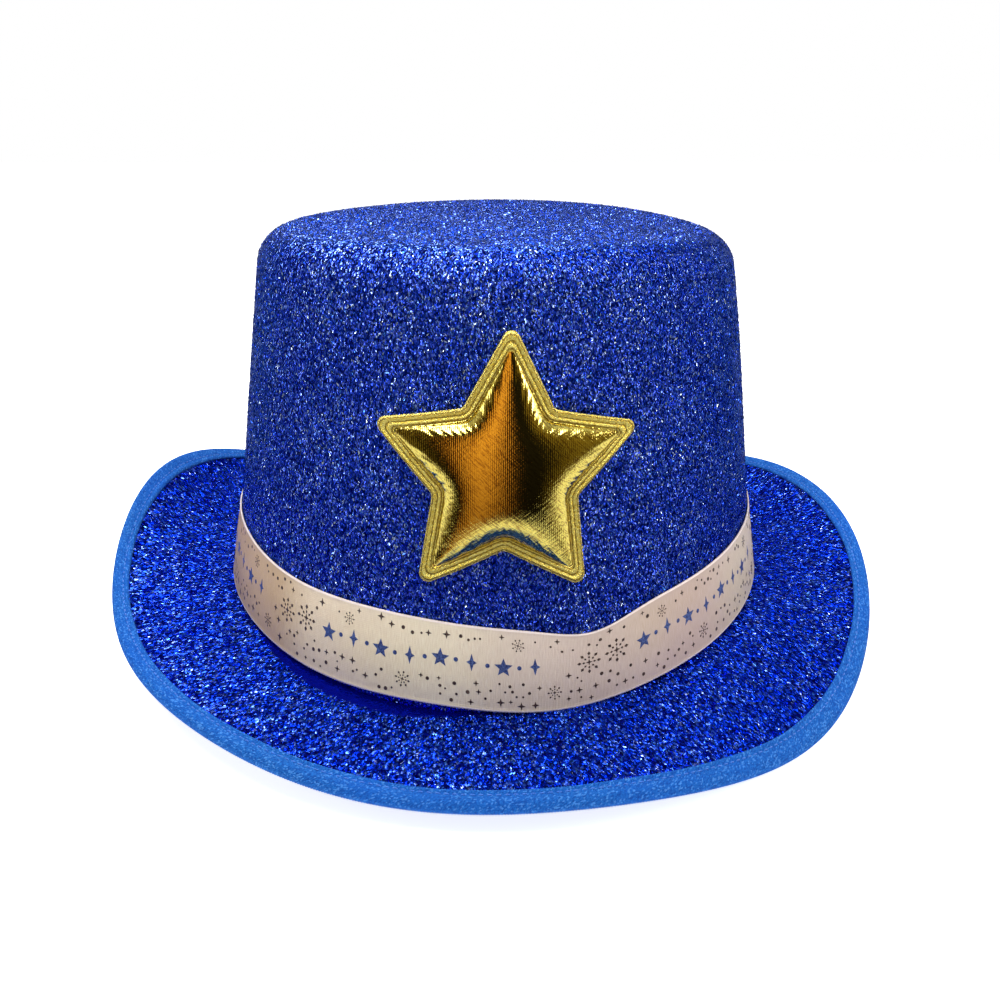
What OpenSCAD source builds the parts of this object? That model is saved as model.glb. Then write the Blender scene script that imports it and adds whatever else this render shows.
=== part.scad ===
// A glitter-cloth party top hat with a ribbon hat band and a padded foil star.
// X runs across the hat, the front is towards -Y, +Z is up, and the brim's lowest point is at zero.
// Heights inside the functions are measured from the crown's base plane, which base_z lifts off the table.

/* [Crown] */
// Outside width of the crown at its base
crown_w = 174; // [160:1:184]
// Outside length of the crown at its base, front to back
crown_l = 195; // [180:1:206]
// Height of the tip above the crown's base plane
crown_h = 114; // [90:1:130]
// How far each wall leans in from the base to the tip
crown_taper = 14.7; // [4:0.1:20]
// Radius of the rounded edge round the tip
tip_r = 9; // [5:0.5:14]
// How far the very foot of the wall kicks out
foot_flare = 0.6; // [0:0.1:2]
// Height over which that kick dies away
flare_h = 14; // [8:1:20]

/* [Brim] */
// Reach of the brim board past the crown at the two sides
side_reach = 35.3; // [25:0.1:45]
// Reach of the brim board past the crown at the front and back
front_reach = 37.8; // [28:0.1:48]
// Mean height of the brim's edge above the base plane
edge_mean = 1.1; // [0:0.1:6]
// How far the sides curl up and the front and back dip
side_curl = 10.6; // [4:0.1:14]
// How far the left side stands higher than the mean
left_lift = 3.9; // [0:0.1:5]
// How far the back stands higher than the front
back_lift = 4.3; // [0:0.1:7]
// How far the curled sides lean towards the back
back_lean = 6.4; // [0:0.1:8]
// Slight twist of the edge between one diagonal and the other
edge_twist = 1.6; // [-2:0.1:2]
// Slight squareness of the curl
edge_square = 1.5; // [-2:0.1:2]
// Height of the five soft waves round the edge
five_waves = 1.3; // [0:0.1:2]
// Height of the six shorter waves laid over them
six_waves = 1.3; // [0:0.1:2]
// Power of the curve from the seam out to the edge
curl_power = 1.6; // [1:0.1:2.5]
// Mean height of the seam between crown and brim
seam_mean = 0.4; // [-1:0.1:2]
// How far that seam rises at the sides and dips at the front and back
seam_rise = 4.6; // [2:0.1:6]

/* [Layers] */
// Thickness of the glitter cloth
cloth_t = 0.8; // [0.5:0.1:1.2]
// Thickness of the crown's foam shell
foam_t = 2; // [1.5:0.1:3]
// Thickness of the crown's lining
lining_t = 0.5; // [0.4:0.1:1]
// Thickness of the brim's stiff board
board_t = 0.8; // [0.6:0.1:3]
// Thickness of sewing thread
thread_d = 0.6; // [0.4:0.1:0.8]

/* [Binding] */
// How far the knitted tape reaches in over the brim
tape_reach = 3.8; // [3:0.1:8]
// How far the tape's roll stands out past the board
roll_out = 1.6; // [1.2:0.1:2.5]
// How far the roll stands above and below the brim
roll_up = 0.7; // [0.5:0.1:2.2]

/* [Hat band] */
// Width of the ribbon
ribbon_w = 22.4; // [15:0.1:30]
// Thickness of the ribbon
ribbon_t = 0.4; // [0.3:0.1:0.6]
// Height of the ribbon's lower edge above the seam
ribbon_lift = 1; // [0.5:0.1:4]
// Angle that the ribbon's end laps over its start at the back
lap = 8; // [4:1:14]

/* [Sweatband] */
// Height of the band inside the crown
sweat_h = 28; // [20:1:35]
// Thickness of the band
sweat_t = 0.7; // [0.5:0.1:1.2]

/* [Star] */
// Radius of the star to its rounded points
star_r = 34.3; // [25:0.1:40]
// Radius of the corners between the points, as a share of the star's radius
star_waist = 0.56; // [0.45:0.01:0.6]
// Radius of the rounding of its points
point_r = 2.2; // [0.5:0.1:4]
// How much taller the star is than a regular one
star_tall = 1.035; // [0.9:0.005:1.1]
// Height of the star's middle above the base plane
star_z = 59.7; // [50:0.1:70]
// How far the star sits to the right of the middle
star_shift = 3.2; // [-10:0.1:10]
// How far the star is turned from upright
star_turn = -1.5; // [-10:0.5:10]
// Width of the flat sealed edge round the padding
star_edge = 3.6; // [2:0.1:5]
// Height of the padding above its backing
star_puff = 6; // [3:0.5:8]
// Thickness of the gold foil
foil_t = 0.4; // [0.3:0.1:0.6]
// Thickness of the felt backing
felt_t = 0.8; // [0.5:0.1:1.5]

/* [Hidden] */

N = 48;                                // points round every ring
gap = 0.15;                            // air between curved faces that are only laid together
wall_t = cloth_t + foam_t + lining_t;
brim_t = 2 * cloth_t + board_t;

// ---- surfaces ----

// Rise of the seam and of the middle of the brim's edge at a compass angle
function seam_z(a) = seam_mean + seam_rise * cos(2 * a);
function edge_z(a) = edge_mean - left_lift * cos(a) + side_curl * cos(2 * a)
    + edge_twist * sin(2 * a) + edge_square * cos(4 * a)
    + back_lift * sin(a) + back_lean * sin(3 * a)
    + five_waves * sin(5 * a) - six_waves * sin(6 * a - 10);

// Half size of the crown at a height, from its full size at the base
function wall_half(size, z) = size / 2 - crown_taper * z / crown_h + foot_flare * exp(-z / flare_h);

// A point on the wall at an angle and height, sunk by depth
function wall_point(a, z, depth) =
    [(wall_half(crown_w, z) - depth) * cos(a), (wall_half(crown_l, z) - depth) * sin(a), z];

// A point on the rounded edge at an angle and a climb from 0, the wall, to 90, the tip
function shoulder_point(a, climb, depth) =
    let (z = crown_h - tip_r + (tip_r - depth) * sin(climb),
         inset = tip_r - (tip_r - depth) * cos(climb))
    [(wall_half(crown_w, z) - inset) * cos(a), (wall_half(crown_l, z) - inset) * sin(a), z];

// A point on the brim's upper face: share 0 is the crown's wall and 1 the board's edge
function brim_point(a, share, drop) =
    let (foot = wall_point(a, seam_z(a), 0),
         rim = [(crown_w / 2 + side_reach) * cos(a), (crown_l / 2 + front_reach) * sin(a)],
         top = edge_z(a) + brim_t / 2)
    [foot[0] + (rim[0] - foot[0]) * share, foot[1] + (rim[1] - foot[1]) * share,
     seam_z(a) + (top - seam_z(a)) * pow(share, curl_power) - drop];

// ---- rings of points, and the solids between them ----

function angles(n) = [for (i = [0 : n - 1]) 360 * i / n];
function reversed(list) = [for (i = [len(list) - 1 : -1 : 0]) list[i]];
function total(list, i = 0, sum = [0, 0, 0]) = i == len(list) ? sum : total(list, i + 1, sum + list[i]);

// The crown's skin at one depth, from the tip down to the seam
function crown_rings(depth) = concat(
    [for (climb = [90, 67.5, 45, 22.5]) [for (a = angles(N)) shoulder_point(a, climb, depth)]],
    [for (share = [1, 0.6, 0.3, 0.12, 0]) [for (a = angles(N))
        wall_point(a, seam_z(a) + share * (crown_h - tip_r - seam_z(a)), depth)]]);

// The brim's face at one drop, from under the crown's lining out to the edge
function brim_rings(drop) = concat(
    [[for (a = angles(N)) wall_point(a, seam_z(a), wall_t) - [0, 0, drop]]],
    [for (share = [0 : 0.2 : 1]) [for (a = angles(N)) brim_point(a, share, drop)]]);

// Faces between ring j and ring k. The diagonal turns over on the way back, so that laid faces share it.
function band(j, k, n, back) = [for (i = [0 : n - 1]) let (m = (i + 1) % n)
    each back ? [[j * n + i, j * n + m, k * n + i], [j * n + m, k * n + m, k * n + i]]
              : [[j * n + i, j * n + m, k * n + m], [j * n + i, k * n + m, k * n + i]]];

// A closed skin through rings of points, which leads back from the ring numbered turn.
// A looped skin joins its last ring to its first. Any other has a fan over each end.
module skin(rings, turn, looped = false) {
    n = len(rings[0]);
    count = len(rings);
    last = (count - 1) * n;
    hubs = [total(rings[0]) / n, total(rings[count - 1]) / n];
    sides = [for (j = [0 : count - (looped ? 1 : 2)]) each band(j, (j + 1) % count, n, j >= turn)];
    fans = [for (i = [0 : n - 1]) let (m = (i + 1) % n)
        each [[m, i, count * n], [last + i, last + m, count * n + 1]]];
    translate([0, 0, base_z])
    if (looped) polyhedron([for (r = rings) each r], sides);
    else polyhedron(concat([for (r = rings) each r], hubs), concat(sides, fans));
}

// One layer of the crown between two depths
module crown_layer(outer, inner) {
    rings = crown_rings(outer);
    skin(concat(rings, reversed(crown_rings(inner))), len(rings));
}

// One layer of the brim between two drops
module brim_layer(top, bottom) {
    rings = brim_rings(top);
    skin(concat(rings, reversed(brim_rings(bottom))), len(rings), looped = true);
}

// Corners of a thread's round section about a point, as [distance, height] pairs
function thread_section(along, up) = [for (c = [0 : 60 : 300])
    [along - thread_d / 2 * sin(c), up + thread_d / 2 * cos(c)]];

// A bead along the brim, from corners of [inset from the board's edge, height over the brim]
function bead_rings(section) =
    [for (p = section) [for (a = angles(N)) brim_point(a, 1 - p[0] / front_reach, -p[1])]];

// ---- crown and brim ----

module crown_glitter_cloth() { color("mediumblue") crown_layer(0, cloth_t); }
module crown_foam_shell() { color("lightsteelblue") crown_layer(cloth_t, cloth_t + foam_t); }
module crown_lining() { color("navy") crown_layer(cloth_t + foam_t, wall_t); }

module brim_glitter_cloth() { color("mediumblue") brim_layer(0, cloth_t); }
module brim_board() { color("lightsteelblue") brim_layer(cloth_t, cloth_t + board_t); }
module brim_under_cloth() { color("darkblue") brim_layer(cloth_t + board_t, brim_t); }

// The tape's section: a ridge and a sewn groove along its inner edge, the roll, and back beneath
tape_t = 0.5;
ridge_w = 1.2;
ridge_up = 0.15;
groove_t = 0.35;
groove_inset = tape_reach - ridge_w - 0.7;
roll_inset = groove_inset - 1.4;
face_up = gap + tape_t;
face_down = -brim_t - gap - tape_t;
tape_section = concat(
    [[tape_reach, gap + groove_t], [tape_reach - ridge_w / 2, face_up + ridge_up],
     [tape_reach - ridge_w, face_up], [groove_inset, gap + groove_t], [roll_inset, face_up]],
    [for (c = [90 : -22.5 : -90]) [-roll_out * cos(c), -brim_t / 2 + (brim_t / 2 + roll_up) * sin(c)]],
    [[roll_inset, face_down], [tape_reach, face_down],
     [tape_reach, -brim_t - gap], [-gap, -brim_t - gap], [-gap, gap], [tape_reach, gap]]);

module brim_binding() {
    color("dodgerblue") skin(bead_rings(tape_section), len(tape_section), looped = true);
}

// The stitching lies in the groove
module binding_thread() {
    section = thread_section(groove_inset, gap + groove_t + thread_d / 2 + gap);
    color("deepskyblue") skin(bead_rings(section), len(section), looped = true);
}

// The seam that holds crown and brim together shows under the brim, just outside the crown's wall
seam_out = 1.2;
module crown_seam_thread() {
    section = thread_section(front_reach - seam_out, -brim_t - thread_d / 2 - gap);
    color("royalblue") skin(bead_rings(section), len(section), looped = true);
}

// The crown's base plane stands this high, so that the binding's lowest point is at zero
base_z = -min([for (ring = bead_rings(tape_section)) for (p = ring) p[2]]);

// ---- hat band ----

ribbon_gap = 0.3;
ribbon_step = 360 / N;

// The ribbon starts at the back, goes once round, and laps over its own start
module hat_band_ribbon() {
    start = 90 - lap;
    rings = [for (a = concat([for (b = [0 : ribbon_step : 360 - ribbon_step]) b], [360, 360 + lap]))
        let (out = ribbon_gap + (a >= 360 ? ribbon_t + gap : 0), low = seam_z(start + a) + ribbon_lift)
        [wall_point(start + a, low, -out - ribbon_t), wall_point(start + a, low + ribbon_w, -out - ribbon_t),
         wall_point(start + a, low + ribbon_w, -out), wall_point(start + a, low, -out)]];
    color("wheat") skin(rings, len(rings));
}

// Flat dabs of glue between ribbon and cloth
dab_count = 8;
dab_w = 8;
dab_h = 7;
dab_faces = [ribbon_gap - 0.04, 0.06];  // outer and inner faces, out from the cloth
dab_angle = dab_w / (PI * crown_w) * 360 / 2;
module ribbon_glue_dots() {
    for (d = [0 : dab_count - 1]) {
        rings = [for (out = dab_faces) [for (c = [0 : 45 : 315])
            let (a = 360 * (d + 0.5) / dab_count + dab_angle * cos(c))
            wall_point(a, seam_z(a) + ribbon_lift + ribbon_w / 2 + dab_h / 2 * sin(c), -out)]];
        color("ivory") skin(rings, len(rings));
    }
}

// ---- sweatband ----

sweat_lift = 0.6;
sweat_seam = 3.5;  // height of the stitching above the band's lower edge
module sweatband() {
    outer = wall_t + gap;
    heights = [sweat_lift + sweat_h, sweat_lift + sweat_h / 3, sweat_lift];
    rings = concat(
        [for (h = heights) [for (a = angles(N)) wall_point(a, seam_z(a) + h, outer)]],
        [for (h = reversed(heights)) [for (a = angles(N)) wall_point(a, seam_z(a) + h, outer + sweat_t)]]);
    color("black") skin(rings, len(heights), looped = true);
}

module sweatband_thread() {
    rings = [for (c = thread_section(sweat_seam, wall_t + gap + sweat_t + gap + thread_d / 2))
        [for (a = angles(N)) wall_point(a, seam_z(a) + sweat_lift + c[0], c[1])]];
    color("dimgray") skin(reversed(rings), len(rings), looped = true);
}

// ---- star ----

// Corners of the outline at scale 1. Each point is an arc, which the straight sides touch at
// this angle from its own arm, and the sides meet in the corner between two points
function polar(r, a) = r * [cos(a), sin(a)];
function mix(p, q, t) = p + (q - p) * t;
point_middle = star_r - point_r;
waist_r = star_r * star_waist;
to_waist = polar(waist_r, 36) - [point_middle, 0];
touch = atan2(to_waist[1], to_waist[0]) - acos(point_r / norm(to_waist));
function on_point(arm, turn) = polar(point_middle, arm) + polar(point_r, arm + turn);
star_outline = [for (arm = [90 + star_turn : 72 : 378 + star_turn])
    let (corner = polar(waist_r, arm + 36), next = on_point(arm + 72, -touch))
    each [for (p = [for (t = [-1, -0.5, 0, 0.5, 1]) on_point(arm, t * touch),
                    mix(on_point(arm, touch), corner, 0.55), corner, mix(corner, next, 0.45)])
        [p[0], p[1] * star_tall]]];

// Distance from the middle to a straight side, which sets the padding's share of the star
side_distance = point_middle * cos(touch) + point_r;
pad_share = 1 - star_edge / side_distance;

// A point laid on the front of the crown: across and up along the cloth, and out from it
function star_point(u, v, out) =
    let (z = star_z + v * crown_h / norm([crown_h, crown_taper]),
         half_w = wall_half(crown_w, z), half_l = wall_half(crown_l, z),
         bend = half_w * half_w / half_l,
         x = bend * sin((u + star_shift) / bend * 180 / PI),
         y = -half_l * sqrt(1 - pow(x / half_w, 2)),
         rise = crown_taper / crown_h * (x * x / pow(half_w, 3) + y * y / pow(half_l, 3)),
         n = [x / pow(half_w, 2), y / pow(half_l, 2), rise])
    [x, y, z] + n / norm(n) * out;
function star_ring(scale, out) = [for (p = star_outline) star_point(p[0] * scale, p[1] * scale, out)];

// Height of the padding's face at a share of the way out to its rim
function puff(share) = star_puff * sqrt(1 - pow(share, 3));
puff_shares = [0.35, 0.65, 0.85, 0.96];
glue_out = 0.1;
glue_t = 0.35;
felt_out = glue_out + glue_t + 0.05;
foil_out = felt_out + felt_t + gap;
felt_share = 0.985;
glue_share = 0.6;

module star_foil_cover() {
    outer = concat([for (s = puff_shares) star_ring(s * pad_share, foil_out + foil_t + puff(s))],
        [star_ring(pad_share, foil_out + foil_t), star_ring(1, foil_out + foil_t)]);
    inner = concat([star_ring(1, foil_out), star_ring(pad_share, foil_out)],
        [for (s = reversed(puff_shares)) star_ring(s * pad_share, foil_out + puff(s))]);
    color("gold") skin(concat(outer, inner), len(outer));
}

module star_foam_pad() {
    rings = concat([for (s = puff_shares) star_ring(s * pad_share, foil_out + puff(s) - gap)],
        [star_ring(0.97 * pad_share, foil_out + gap)],
        [for (s = [0.65, 0.3]) star_ring(s * pad_share, foil_out + gap)]);
    color("white") skin(rings, len(rings));
}

// A flat star of one thickness
module star_sheet(share, out, thick) {
    steps = [0.3, 0.65, 1];
    rings = concat([for (s = steps) star_ring(s * share, out + thick)],
        [for (s = reversed(steps)) star_ring(s * share, out)]);
    skin(rings, len(steps));
}

module star_felt_backing() { color("khaki") star_sheet(felt_share, felt_out, felt_t); }
module star_glue_pad() { color("ivory") star_sheet(glue_share, glue_out, glue_t); }

crown_glitter_cloth();
crown_foam_shell();
crown_lining();
brim_glitter_cloth();
brim_board();
brim_under_cloth();
brim_binding();
binding_thread();
crown_seam_thread();
hat_band_ribbon();
ribbon_glue_dots();
sweatband();
sweatband_thread();
star_foil_cover();
star_foam_pad();
star_felt_backing();
star_glue_pad();
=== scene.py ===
"""A blue glitter party top hat: cloth crown and curled brim, bound edge, printed ribbon, padded foil star.

Shapes are worked out in millimetres above the crown's base plane, as the CAD source does,
and build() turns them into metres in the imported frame.
"""

import math

import bpy
import numpy as np
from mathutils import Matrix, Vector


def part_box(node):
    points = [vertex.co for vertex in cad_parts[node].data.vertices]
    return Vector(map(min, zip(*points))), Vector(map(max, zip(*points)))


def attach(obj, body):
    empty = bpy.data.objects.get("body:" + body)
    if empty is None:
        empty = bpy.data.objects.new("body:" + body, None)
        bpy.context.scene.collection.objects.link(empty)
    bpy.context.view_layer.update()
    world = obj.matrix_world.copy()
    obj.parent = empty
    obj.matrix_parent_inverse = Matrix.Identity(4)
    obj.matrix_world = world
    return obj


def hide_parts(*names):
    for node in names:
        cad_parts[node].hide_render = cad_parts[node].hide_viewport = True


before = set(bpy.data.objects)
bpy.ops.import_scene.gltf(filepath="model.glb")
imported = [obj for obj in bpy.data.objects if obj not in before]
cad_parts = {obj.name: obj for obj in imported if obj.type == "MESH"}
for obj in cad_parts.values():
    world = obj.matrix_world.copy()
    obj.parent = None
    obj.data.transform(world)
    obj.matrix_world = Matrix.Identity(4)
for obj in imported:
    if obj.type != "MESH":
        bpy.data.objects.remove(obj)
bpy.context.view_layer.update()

MM = 0.001
ROUND = 2 * math.pi
rng = np.random.default_rng(7)

# ---- sizes, in millimetres ----

crown_high = np.array(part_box("crown_glitter_cloth")[1]) / MM
binding_high = np.array(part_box("brim_binding")[1]) / MM

CROWN_W, CROWN_L, CROWN_H = 174.0, 195.0, 114.0
TAPER, TIP_R = 14.7, 9.0
FOOT_FLARE, FLARE_H = 0.6, 14.0
BASE_Z = crown_high[2] - CROWN_H
SEAM_MEAN, SEAM_RISE = 0.4, 4.6

ROLL_OUT, ROLL_UP, TAPE_REACH, TAPE_T = 1.6, 0.7, 3.8, 0.5
RIM_HALF_X = binding_high[0] - ROLL_OUT
RIM_HALF_Y = binding_high[1] - ROLL_OUT
FRONT_REACH = RIM_HALF_Y - CROWN_L / 2
EDGE_MEAN, SIDE_CURL, LEFT_LIFT, BACK_LIFT, BACK_LEAN = 1.1, 10.6, 3.9, 4.3, 6.4
EDGE_TWIST, EDGE_SQUARE, FIVE_WAVES, SIX_WAVES, CURL_POWER = 1.6, 1.5, 1.3, 1.3, 1.6

GAP = 0.15
CLOTH_T, FOAM_T, LINING_T, BOARD_T = 0.8, 2.0, 0.5, 0.8
WALL_T = CLOTH_T + FOAM_T + LINING_T
BRIM_T = 2 * CLOTH_T + BOARD_T
THREAD_D = 0.6

RIBBON_W, RIBBON_T, RIBBON_LIFT, RIBBON_GAP, LAP = 22.4, 0.4, 1.0, 0.3, 8.0
SWEAT_H, SWEAT_T, SWEAT_LIFT, SWEAT_SEAM = 28.0, 0.7, 0.6, 3.5

STAR_R, STAR_WAIST, STAR_Z, STAR_SHIFT, STAR_TURN = 34.3, 0.56, 59.7, 3.2, -1.5
STAR_TALL, POINT_R = 1.035, 2.2
STAR_EDGE, STAR_PUFF, STAR_STIFF = 3.2, 6.0, 1.6
FELT_OUT, FELT_T, FOIL_T = 0.5, 0.8, 0.4
FOIL_OUT = FELT_OUT + FELT_T + GAP

CROWN_GIRTH, BRIM_GIRTH, EDGE_GIRTH = 580.0, 700.0, 820.0
RIBBON_RADIUS = 90.6
GLUE_DABS, DAB_W, DAB_H = 8, 8.0, 7.0
LEVEL_FACE = 0.72  # upright share of a face's normal above which it counts as level

# The brim's bare stretch: where it widens and narrows along BRIM_GIRTH, counted from the back, and its width
BARE_LEFT, BARE_RIGHT, BARE_W = (236, 290), (318, 352), 6.5


# ---- surfaces ----


def seam_z(a):
    """Height of the seam between crown and brim at an angle: 0 at +X, -90 degrees at the front."""
    return SEAM_MEAN + SEAM_RISE * np.cos(2 * a)


def edge_z(a):
    """Height of the middle of the brim's edge."""
    return (
        EDGE_MEAN
        - LEFT_LIFT * np.cos(a)
        + SIDE_CURL * np.cos(2 * a)
        + EDGE_TWIST * np.sin(2 * a)
        + EDGE_SQUARE * np.cos(4 * a)
        + BACK_LIFT * np.sin(a)
        + BACK_LEAN * np.sin(3 * a)
        + FIVE_WAVES * np.sin(5 * a)
        - SIX_WAVES * np.sin(6 * a - math.radians(10))
    )


def wall_half(size, z):
    return size / 2 - TAPER * z / CROWN_H + FOOT_FLARE * np.exp(-z / FLARE_H)


def stack(x, y, z):
    return np.stack(np.broadcast_arrays(x, y, z), -1)


def wall_point(a, z, depth):
    return stack((wall_half(CROWN_W, z) - depth) * np.cos(a), (wall_half(CROWN_L, z) - depth) * np.sin(a), z)


def shoulder_point(a, climb, depth):
    """The rounded edge round the tip, climb from 0 at the wall to a quarter turn at the tip."""
    z = CROWN_H - TIP_R + (TIP_R - depth) * np.sin(climb)
    inset = TIP_R - (TIP_R - depth) * np.cos(climb)
    return stack((wall_half(CROWN_W, z) - inset) * np.cos(a), (wall_half(CROWN_L, z) - inset) * np.sin(a), z)


def brim_point(a, share, drop):
    """The brim's upper face: share 0 at the crown's wall, 1 at the board's edge."""
    foot = wall_point(a, seam_z(a), 0)
    top = edge_z(a) + BRIM_T / 2
    z = seam_z(a) + (top - seam_z(a)) * np.maximum(share, 0) ** CURL_POWER - drop
    x = foot[..., 0] + (RIM_HALF_X * np.cos(a) - foot[..., 0]) * share
    y = foot[..., 1] + (RIM_HALF_Y * np.sin(a) - foot[..., 1]) * share
    return stack(x, y, z)


def climbed(x, low, high):
    return np.clip((x - low) / (high - low), 0, 1)


def ease(x, low, high):
    t = climbed(x, low, high)
    return t * t * (3 - 2 * t)


def on_crown(r):
    """1 over the crown, fading to 0 out along the brim, where r is 1 at the crown's foot."""
    return 1 - ease(r, 1.05, 1.35)


def soften(p):
    """A soft hat's small unevenness, the same for everything at one place."""
    x, y, z = p[..., 0], p[..., 1], p[..., 2]
    a = np.arctan2(y, x)
    r = np.hypot(x / (CROWN_W / 2), y / (CROWN_L / 2))
    on_wall = ease(z, 4, 40) * np.clip(r, 0, 1)
    push = on_wall * (0.35 * np.sin(3 * a + 1 + 0.02 * z) + 0.25 * np.sin(5 * a - 0.045 * z))
    near_tip = ease(z, CROWN_H - 34, CROWN_H) * np.clip(r / 0.8, 0, 1) ** 2
    lean = on_crown(r) * (0.4 + 0.7 * ease(z, 0, 100))
    push = push - 0.35 * on_crown(r) * ease(z, 4, 30) * np.cos(a) ** 2
    sag = 1.2 * ((1 + np.sin(a)) / 2) ** 3 - (1.6 + 0.9 * np.cos(a)) * np.cos(a) ** 2
    return stack(x + push * np.cos(a) + lean, y + push * np.sin(a), z + near_tip * sag)


def turns(count):
    """Angles once round, with the closing place at the back."""
    return math.pi / 2 + circle(count)


def circle(count):
    return np.linspace(0, ROUND, count, endpoint=False)


def unit(v):
    return v / np.linalg.norm(v, axis=-1, keepdims=True)


# ---- meshes ----


def linked(name, data):
    obj = bpy.data.objects.new(name, data)
    bpy.context.scene.collection.objects.link(obj)
    return obj


def build(name, points, faces, uv=None, flat=False):
    """An object from points in millimetres above the base plane, and a uv pair for each face's corners."""
    points = np.asarray(points, float)
    data = bpy.data.meshes.new(name)
    sizes = np.array([len(f) for f in faces], np.int32)
    data.vertices.add(len(points))
    data.loops.add(int(sizes.sum()))
    data.polygons.add(len(faces))
    data.vertices.foreach_set("co", ((points + [0, 0, BASE_Z]) * MM).astype(np.float32).ravel())
    data.loops.foreach_set("vertex_index", np.concatenate([np.asarray(f, np.int32).ravel() for f in faces]))
    data.polygons.foreach_set("loop_start", np.concatenate([[0], np.cumsum(sizes)[:-1]]).astype(np.int32))
    if uv is not None:
        data.uv_layers.new(name="cloth_mm").data.foreach_set("uv", np.asarray(uv, np.float32).ravel())
    data.update(calc_edges=True)
    data.validate()
    if flat:
        data.shade_flat()
    else:
        data.shade_smooth()
    return linked(name, data)


def grid(name, rows, u=None, v=None, round_rows=False, round_cols=True, fans=False):
    """A skin through rows of points. u and v are millimetres along and across the cloth, one for each
    column and row, and one more where the skin closes."""
    rows = soften(np.asarray(rows, float))
    n_row, n_col = rows.shape[:2]
    i, j = (k.ravel() for k in np.indices((n_row - (not round_rows), n_col - (not round_cols))))
    i1, j1 = (i + 1) % n_row, (j + 1) % n_col
    faces = np.stack([i * n_col + j, i1 * n_col + j, i1 * n_col + j1, i * n_col + j1], 1)
    u = np.arange(n_col + 1, dtype=float) if u is None else np.asarray(u, float)
    v = np.arange(n_row + 1, dtype=float) if v is None else np.asarray(v, float)
    corners = [[u[j], v[i]], [u[j], v[i + 1]], [u[j + 1], v[i + 1]], [u[j + 1], v[i]]]
    uv = np.stack([np.stack(c, 1) for c in corners], 1).reshape(-1, 2)
    points = rows.reshape(-1, 3)
    faces = list(faces)
    if fans:
        hubs = [rows[0].mean(0), rows[-1].mean(0)]
        c = np.arange(n_col)
        c1 = np.roll(c, -1)
        last = (n_row - 1) * n_col
        hub = np.full(n_col, len(points))
        faces += list(np.stack([hub, c, c1], 1)) + list(np.stack([last + c1, last + c, hub + 1], 1))
        points = np.concatenate([points, hubs])
        uv = np.concatenate([uv, np.zeros((6 * n_col, 2))])
    return build(name, points, faces, uv)


def read(items, key, width=1, kind=np.float32):
    """One value or vector for each item of a mesh."""
    values = np.empty(len(items) * width, kind)
    items.foreach_get(key, values)
    return values.reshape(-1, width) if width > 1 else values


def lay_flat_on_top(obj):
    """On level faces the cloth's millimetres are those of the plan, since rings narrow to a point there."""
    data = obj.data
    upright = np.abs(read(data.polygons, "normal", 3)[:, 2])
    level = np.repeat(upright > LEVEL_FACE, read(data.polygons, "loop_total", kind=np.int32))
    corner = read(data.loops, "vertex_index", kind=np.int32)
    layer = data.uv_layers["cloth_mm"].data
    uv = read(layer, "uv", 2)
    uv[level] = (read(data.vertices, "co", 3) / MM)[corner[level], :2]
    layer.foreach_set("uv", uv.ravel())


def stacked(name, stacks, flat=False):
    """Separate closed solids, each a stack of rings of points."""
    faces, base = [], 0
    for rings in stacks:
        n = len(rings[0])
        numbers = [[base + k * n + c for c in range(n)] for k in range(len(rings))]
        for low, high in zip(numbers, numbers[1:]):
            faces += [[low[c], low[(c + 1) % n], high[(c + 1) % n], high[c]] for c in range(n)]
        faces += [numbers[0][::-1], numbers[-1]]
        base += n * len(rings)
    return build(name, np.concatenate([ring for rings in stacks for ring in rings]), faces, flat=flat)


def round_mm(count, girth):
    return np.linspace(0, girth, count + 1)


def row_mm(rows):
    """Distance across the cloth to each row, and on once more for closing."""
    rows = np.asarray(rows)
    steps = np.linalg.norm(np.diff(rows[:, 0], axis=0), axis=1)
    return np.concatenate([[0], np.cumsum(steps), [np.sum(steps) + 1]])


def closed_layer(name, outer, inner, girth, **how):
    rows = np.asarray(list(outer) + list(inner)[::-1])
    return grid(name, rows, round_mm(rows.shape[1], girth), row_mm(rows), **how)


def scatter(name, middles, along, across, out, length, width, lift):
    """Slivers of tinsel, each a thin closed diamond: one end in the cloth and the other lifted."""
    n = len(middles)
    length, width, lift = (np.reshape(k, (-1, 1)) for k in (length, width, lift))
    lean = rng.uniform(-0.35, 0.35, (n, 1)) * width
    v0 = middles - along * length / 2 - out * 0.05
    v1 = middles + along * length / 2 + out * lift
    v2 = middles + across * width / 2 + out * (0.1 + lean)
    v3 = middles - across * width / 2 + out * (0.1 - lean)
    points = np.stack([v0, v1, v2, v3], 1).reshape(-1, 3)
    corners = np.array([[0, 2, 1], [0, 1, 3], [0, 3, 2], [1, 2, 3]])
    faces = (4 * np.arange(n)[:, None, None] + corners).reshape(-1, 3)
    uv = np.repeat(rng.uniform(0, 400, (n, 2)), 12, axis=0)
    return build(name, points, faces, uv, flat=True)


def stitches(name, path, count, length, radius=THREAD_D / 2, sides=6):
    """Separate stitches along a path given by angle, each a small bent capsule."""
    middle = turns(count)
    step = 1e-3
    tangent = path(middle + step) - path(middle - step)
    speed = np.linalg.norm(tangent, axis=1) / (2 * step)
    tangent = unit(tangent)
    side = unit(np.cross(tangent, [0.0, 0.0, 1.0]))
    up = np.cross(side, tangent)
    sections = []
    for t, size in ((-1, 0.3), (-0.82, 0.8), (-0.4, 1), (0, 1.05), (0.4, 1), (0.82, 0.8), (1, 0.3)):
        centre = soften(path(middle + t * length / 2 / speed))
        bulge = up * radius * (0.25 - 0.5 * t * t)
        sections.append(np.stack([centre + bulge + size * radius * (math.cos(c) * side + math.sin(c) * up)
                                  for c in circle(sides)], 1))
    return stacked(name, np.stack(sections, 1))


# ---- procedural materials ----


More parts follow.
